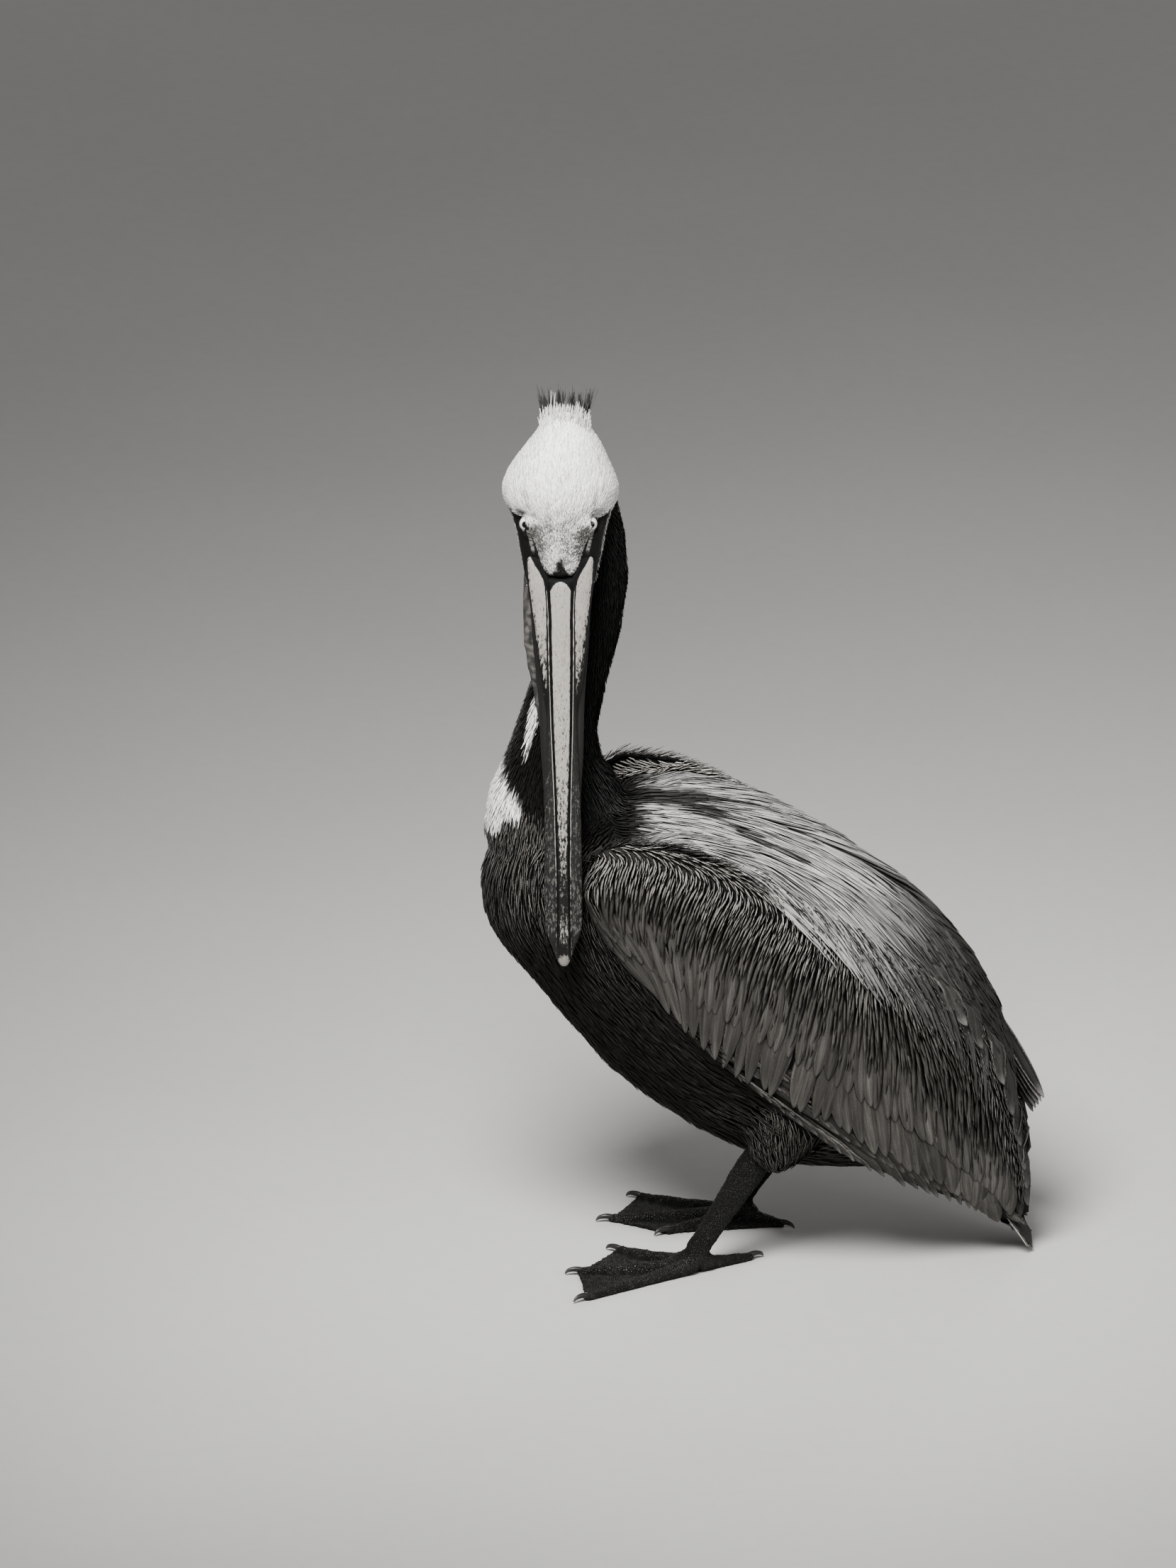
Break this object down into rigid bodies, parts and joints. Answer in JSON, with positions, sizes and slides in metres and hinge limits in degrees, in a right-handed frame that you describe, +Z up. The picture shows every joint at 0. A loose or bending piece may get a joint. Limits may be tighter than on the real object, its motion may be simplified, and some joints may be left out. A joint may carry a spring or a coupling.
{
  "type": "brown pelican model",
  "caption": "Life-size standing brown pelican with folded wings, its head turned to its left and its bill lowered before its breast, on flat webbed feet.",
  "frame": {"origin": "centre of the bounding box in X and Y, on the floor that the feet stand on", "axes": "+Z up; the bird's body faces -Y, its left side is +X, and its head is turned to look along +X"},
  "size_m": [0.253, 0.4692, 0.7611],
  "materials": {
    "plumage_dark": "soft, matt black-brown contour feathers with fine pale streaks",
    "plumage_white": "short, dense, matt cream-white plush",
    "plumage_silver": "long silver-grey feathers with dark edges and a soft sheen",
    "plumage_grey": "grey-brown wing and tail feathers with pale rims",
    "horn": "pale horn with dark mottling and lengthwise grooves, satin",
    "pouch_skin": "thin wrinkled grey skin, dull",
    "leg_skin": "blackish scaly skin, slightly waxy",
    "claw": "dark horn with a paler edge, satin",
    "eye": "pale iris round a black pupil, wet gloss"
  },
  "bodies": {
    "root": {"trunk": "plumage_dark", "neck_lower": "plumage_dark", "neck_middle": "plumage_dark", "neck_upper": "plumage_dark", "thigh_left": "plumage_dark", "thigh_right": "plumage_dark", "head": "plumage_white", "crest": "plumage_white", "scapulars_left": "plumage_silver", "scapulars_right": "plumage_silver", "wing_left": "plumage_grey", "wing_right": "plumage_grey", "tail": "plumage_grey", "tertials_right": "plumage_grey", "bill_upper": "horn", "bill_lower": "horn", "pouch": "pouch_skin", "shank_left": "leg_skin", "shank_right": "leg_skin", "foot_left": "leg_skin", "foot_right": "leg_skin", "claw_left_outer": "claw", "claw_left_middle": "claw", "claw_left_inner": "claw", "claw_left_hind": "claw", "claw_right_outer": "claw", "claw_right_middle": "claw", "claw_right_inner": "claw", "claw_right_hind": "claw", "eye_left": "eye", "eye_right": "eye"}
  },
  "joints": []
}
